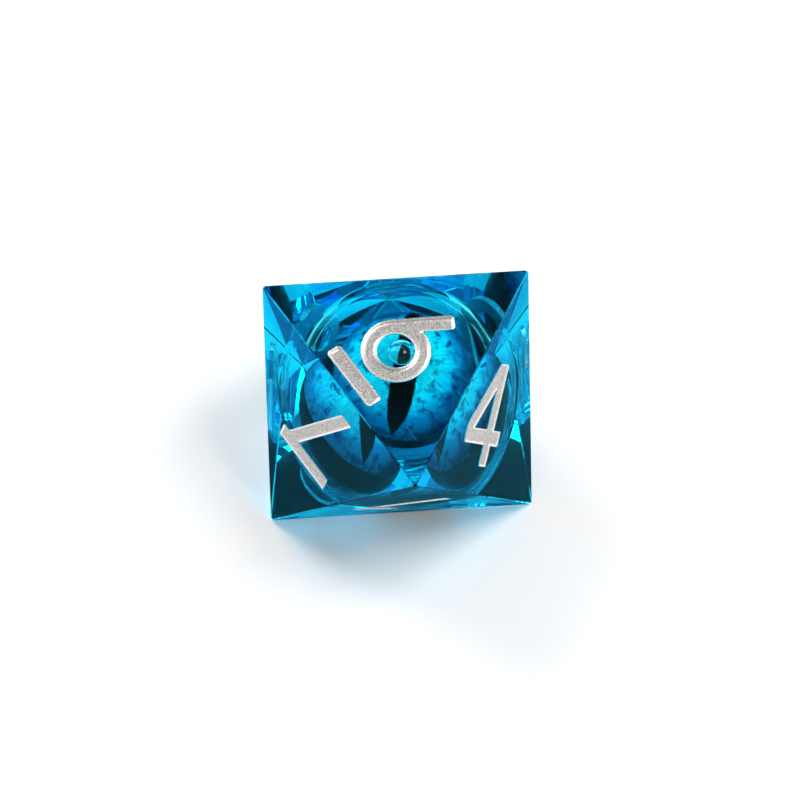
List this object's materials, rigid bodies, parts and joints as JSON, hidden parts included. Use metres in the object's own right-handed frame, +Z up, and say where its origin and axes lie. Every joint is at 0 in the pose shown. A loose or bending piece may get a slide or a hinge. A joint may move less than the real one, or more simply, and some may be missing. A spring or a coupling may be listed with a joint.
{
  "type": "liquid core eight-sided die",
  "caption": "Octahedral gaming die of clear blue resin with engraved silver numerals, cast round a sealed capsule in which a weighted slit-pupil eye floats in oil.",
  "frame": {"origin": "middle of the face that the die rests on, which is the face of the 3", "axes": "+Z up through the middle of the face of the 6, at right angles to both faces; -Y towards the face of the 1; +Y along the line from the origin to one corner of the resting face"},
  "size_m": [0.0196, 0.0224, 0.016],
  "materials": {
    "resin": "clear cast epoxy resin tinted blue, polished",
    "silver_paint": "grainy metallic silver paint",
    "capsule": "clear moulded plastic",
    "oil": "clear oil",
    "eye_black": "moulded black plastic",
    "iris_print": "printed blue iris with a black slit pupil",
    "steel": "plain steel ball"
  },
  "bodies": {
    "die": {"resin_body": "resin", "numeral_1": "silver_paint", "numeral_2": "silver_paint", "numeral_3": "silver_paint", "numeral_4": "silver_paint", "numeral_5": "silver_paint", "numeral_6": "silver_paint", "numeral_7": "silver_paint", "numeral_8": "silver_paint", "numeral_6_underline": "silver_paint", "capsule_upper": "capsule", "capsule_lower": "capsule", "fill_plug": "capsule"},
    "oil": {"oil_fill": "oil"},
    "eye": {"eye_ball": "eye_black", "eye_ballast": "steel", "iris_cap": "iris_print"}
  },
  "joints": [
    {"name": "eye_pitch", "type": "hinge", "parent": "die", "child": "oil", "pos_m": [0, 0, 0.008], "axis": [1, 0, 0], "continuous": true, "deforming": ["oil_fill"]},
    {"name": "eye_roll", "type": "hinge", "parent": "oil", "child": "eye", "pos_m": [0, 0, 0.008], "axis": [0, 1, 0], "continuous": true, "deforming": ["oil_fill"]}
  ]
}
